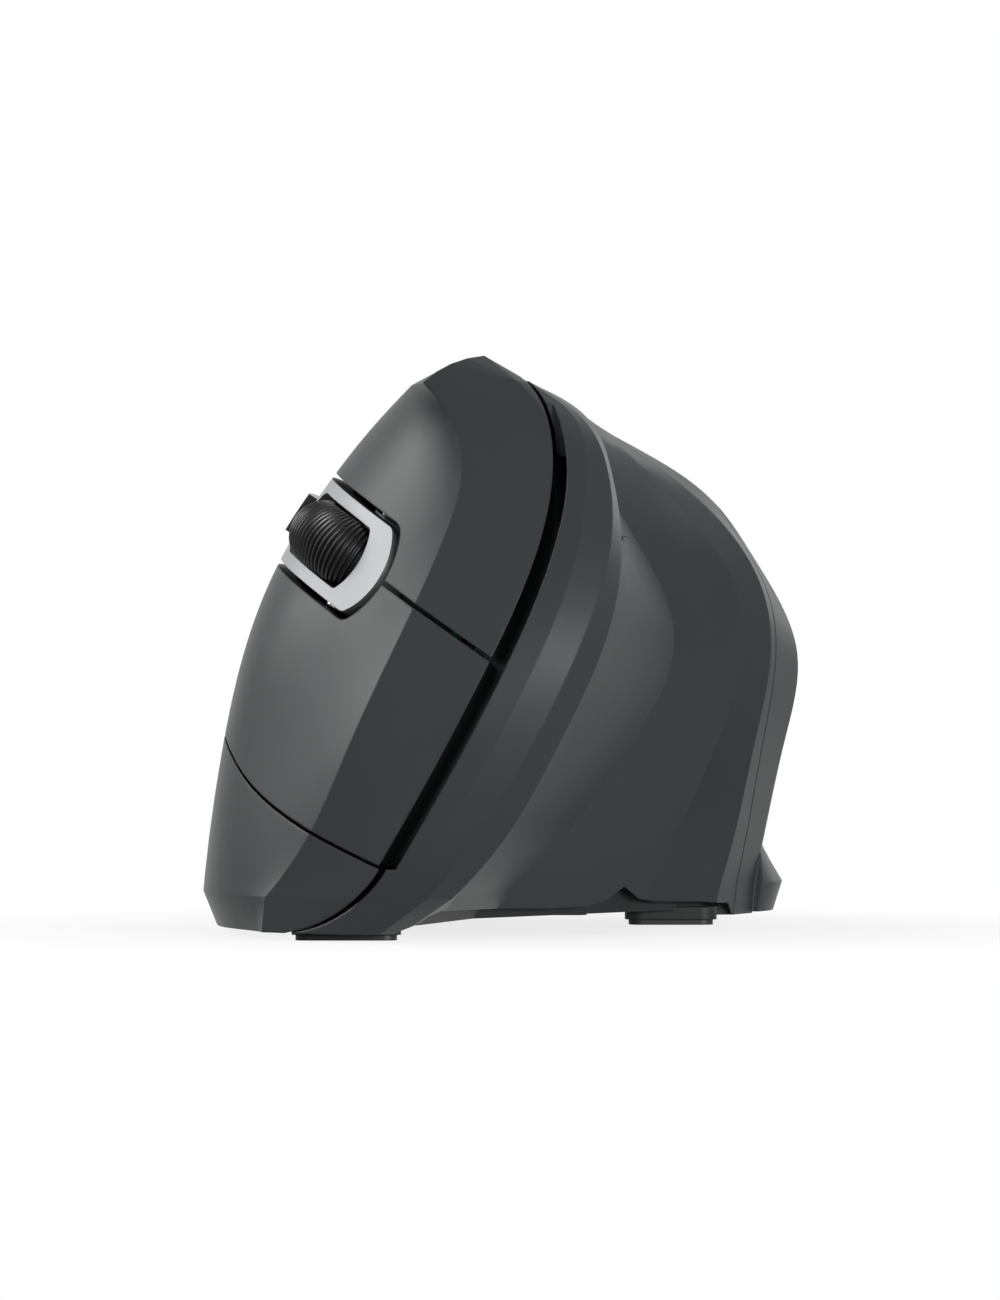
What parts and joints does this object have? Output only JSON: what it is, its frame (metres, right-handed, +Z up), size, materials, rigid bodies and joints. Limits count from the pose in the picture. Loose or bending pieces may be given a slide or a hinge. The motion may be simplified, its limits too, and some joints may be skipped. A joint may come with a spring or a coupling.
{
  "type": "vertical ergonomic computer mouse",
  "caption": "Right-handed upright computer mouse: faceted black casing with two main buttons, ribbed scroll wheel in a silver surround, thumb buttons, battery door.",
  "frame": {"origin": "centre of the bounding box in plan, at the table under the glides", "axes": "+Z up from the table, -Y towards the nose (front, away from the hand's wrist), +X towards the thumb side"},
  "size_m": [0.0788, 0.1202, 0.0739],
  "materials": {
    "shell_plastic": "fine-textured black ABS moulding",
    "silver_paint": "satin silver paint on ABS",
    "black_gloss": "polished black ABS",
    "rubber": "black silicone rubber",
    "grey_plastic": "grey ABS, inner moulding",
    "board": "green solder-masked circuit board",
    "component": "black component plastic",
    "switch_white": "white nylon plunger",
    "steel": "bright zinc-plated steel",
    "glide": "black low-friction glide pad",
    "lens": "clear moulded lens",
    "battery_wrap": "plain shrink-wrapped cell"
  },
  "bodies": {
    "body": {"thumb_shell": "shell_plastic", "palm_shell": "shell_plastic", "wheel_surround": "silver_paint", "base_plate": "shell_plastic", "front_glide": "glide", "thumb_glide": "glide", "heel_glide": "glide", "finger_glide": "glide", "base_screws": "steel", "cradle_pin": "steel", "cradle_spring": "steel", "left_switch": "component", "right_switch": "component", "middle_switch": "component", "button_board": "board", "board_bracket": "grey_plastic", "button_pivot_pin": "steel", "dpi_switch": "component", "side_board": "board", "forward_switch": "component", "back_switch": "component", "main_board": "board", "optical_sensor": "component", "sensor_lens": "lens", "radio_chip": "component", "crystal_can": "steel", "board_connector": "switch_white", "power_switch": "component", "battery": "battery_wrap", "positive_contact": "steel", "negative_contact": "steel"},
    "left_button": {"left_button": "shell_plastic"},
    "right_button": {"right_button": "shell_plastic"},
    "left_plunger": {"left_switch_plunger": "switch_white"},
    "right_plunger": {"right_switch_plunger": "switch_white"},
    "cradle": {"wheel_cradle": "grey_plastic", "scroll_encoder": "component"},
    "middle_plunger": {"middle_switch_plunger": "switch_white"},
    "wheel": {"scroll_tyre": "rubber", "scroll_hub": "grey_plastic", "scroll_axle": "steel"},
    "dpi": {"dpi_button": "black_gloss", "dpi_switch_plunger": "switch_white"},
    "forward": {"forward_button": "black_gloss", "forward_switch_plunger": "switch_white"},
    "back": {"back_button": "black_gloss", "back_switch_plunger": "switch_white"},
    "power": {"power_slider": "black_gloss"},
    "door": {"battery_door": "shell_plastic"},
    "receiver": {"receiver_shell": "black_gloss", "receiver_plug": "steel"}
  },
  "joints": [
    {"name": "left_click", "type": "hinge", "parent": "body", "child": "left_button", "pos_m": [-0.01588, 0.00682, 0.0484], "axis": [0.5424, -0.0541, 0.8384], "range_deg": [0, 0.62], "stiffness_Nm_per_rad": 1.6, "springref_deg": -1.15},
    {"name": "right_click", "type": "hinge", "parent": "body", "child": "right_button", "pos_m": [-0.01588, 0.00682, 0.0484], "axis": [0.5424, -0.0541, 0.8384], "range_deg": [0, 0.62], "stiffness_Nm_per_rad": 1.6, "springref_deg": -1.15},
    {"name": "left_plunge", "type": "slide", "parent": "body", "child": "left_plunger", "axis": [0.8396, 0, -0.5432], "range_m": [0, 0.0005]},
    {"name": "right_plunge", "type": "slide", "parent": "body", "child": "right_plunger", "axis": [0.8396, 0, -0.5432], "range_m": [0, 0.0005]},
    {"name": "wheel_press", "type": "hinge", "parent": "body", "child": "cradle", "pos_m": [-0.01042, -0.01025, 0.04377], "axis": [0.5424, -0.0541, 0.8384], "range_deg": [0, 2.3], "stiffness_Nm_per_rad": 0.25, "springref_deg": -3.44, "deforming": ["cradle_spring"]},
    {"name": "middle_plunge", "type": "slide", "parent": "body", "child": "middle_plunger", "axis": [0.8396, 0, -0.5432], "range_m": [0, 0.0006]},
    {"name": "wheel_spin", "type": "hinge", "parent": "cradle", "child": "wheel", "pos_m": [-0.01835, -0.02573, 0.0479], "axis": [0.5424, -0.0541, 0.8384], "continuous": true},
    {"name": "dpi_press", "type": "slide", "parent": "body", "child": "dpi", "axis": [0.8396, 0, -0.5432], "range_m": [0, 0.0003], "stiffness_N_per_m": 2500, "springref_m": -0.0004},
    {"name": "forward_press", "type": "slide", "parent": "body", "child": "forward", "axis": [-1, 0, 0], "range_m": [0, 0.0003], "stiffness_N_per_m": 2500, "springref_m": -0.0004},
    {"name": "back_press", "type": "slide", "parent": "body", "child": "back", "axis": [-1, 0, 0], "range_m": [0, 0.0003], "stiffness_N_per_m": 2500, "springref_m": -0.0004},
    {"name": "power_slide", "type": "slide", "parent": "body", "child": "power", "axis": [1, 0, 0], "range_m": [0, 0.003]},
    {"name": "door_hinge", "type": "hinge", "parent": "body", "child": "door", "pos_m": [0.00005, 0.00237, 0.0029], "axis": [1, 0, 0], "range_deg": [-90, 0]},
    {"name": "receiver_pull", "type": "slide", "parent": "body", "child": "receiver", "axis": [0, 0, -1], "range_m": [0, 0.01]}
  ],
  "couplings": [
    {"joint": "left_plunge", "follows": "left_click", "m_per_rad": 0.042},
    {"joint": "right_plunge", "follows": "right_click", "m_per_rad": 0.042},
    {"joint": "middle_plunge", "follows": "wheel_press", "m_per_rad": 0.011}
  ]
}
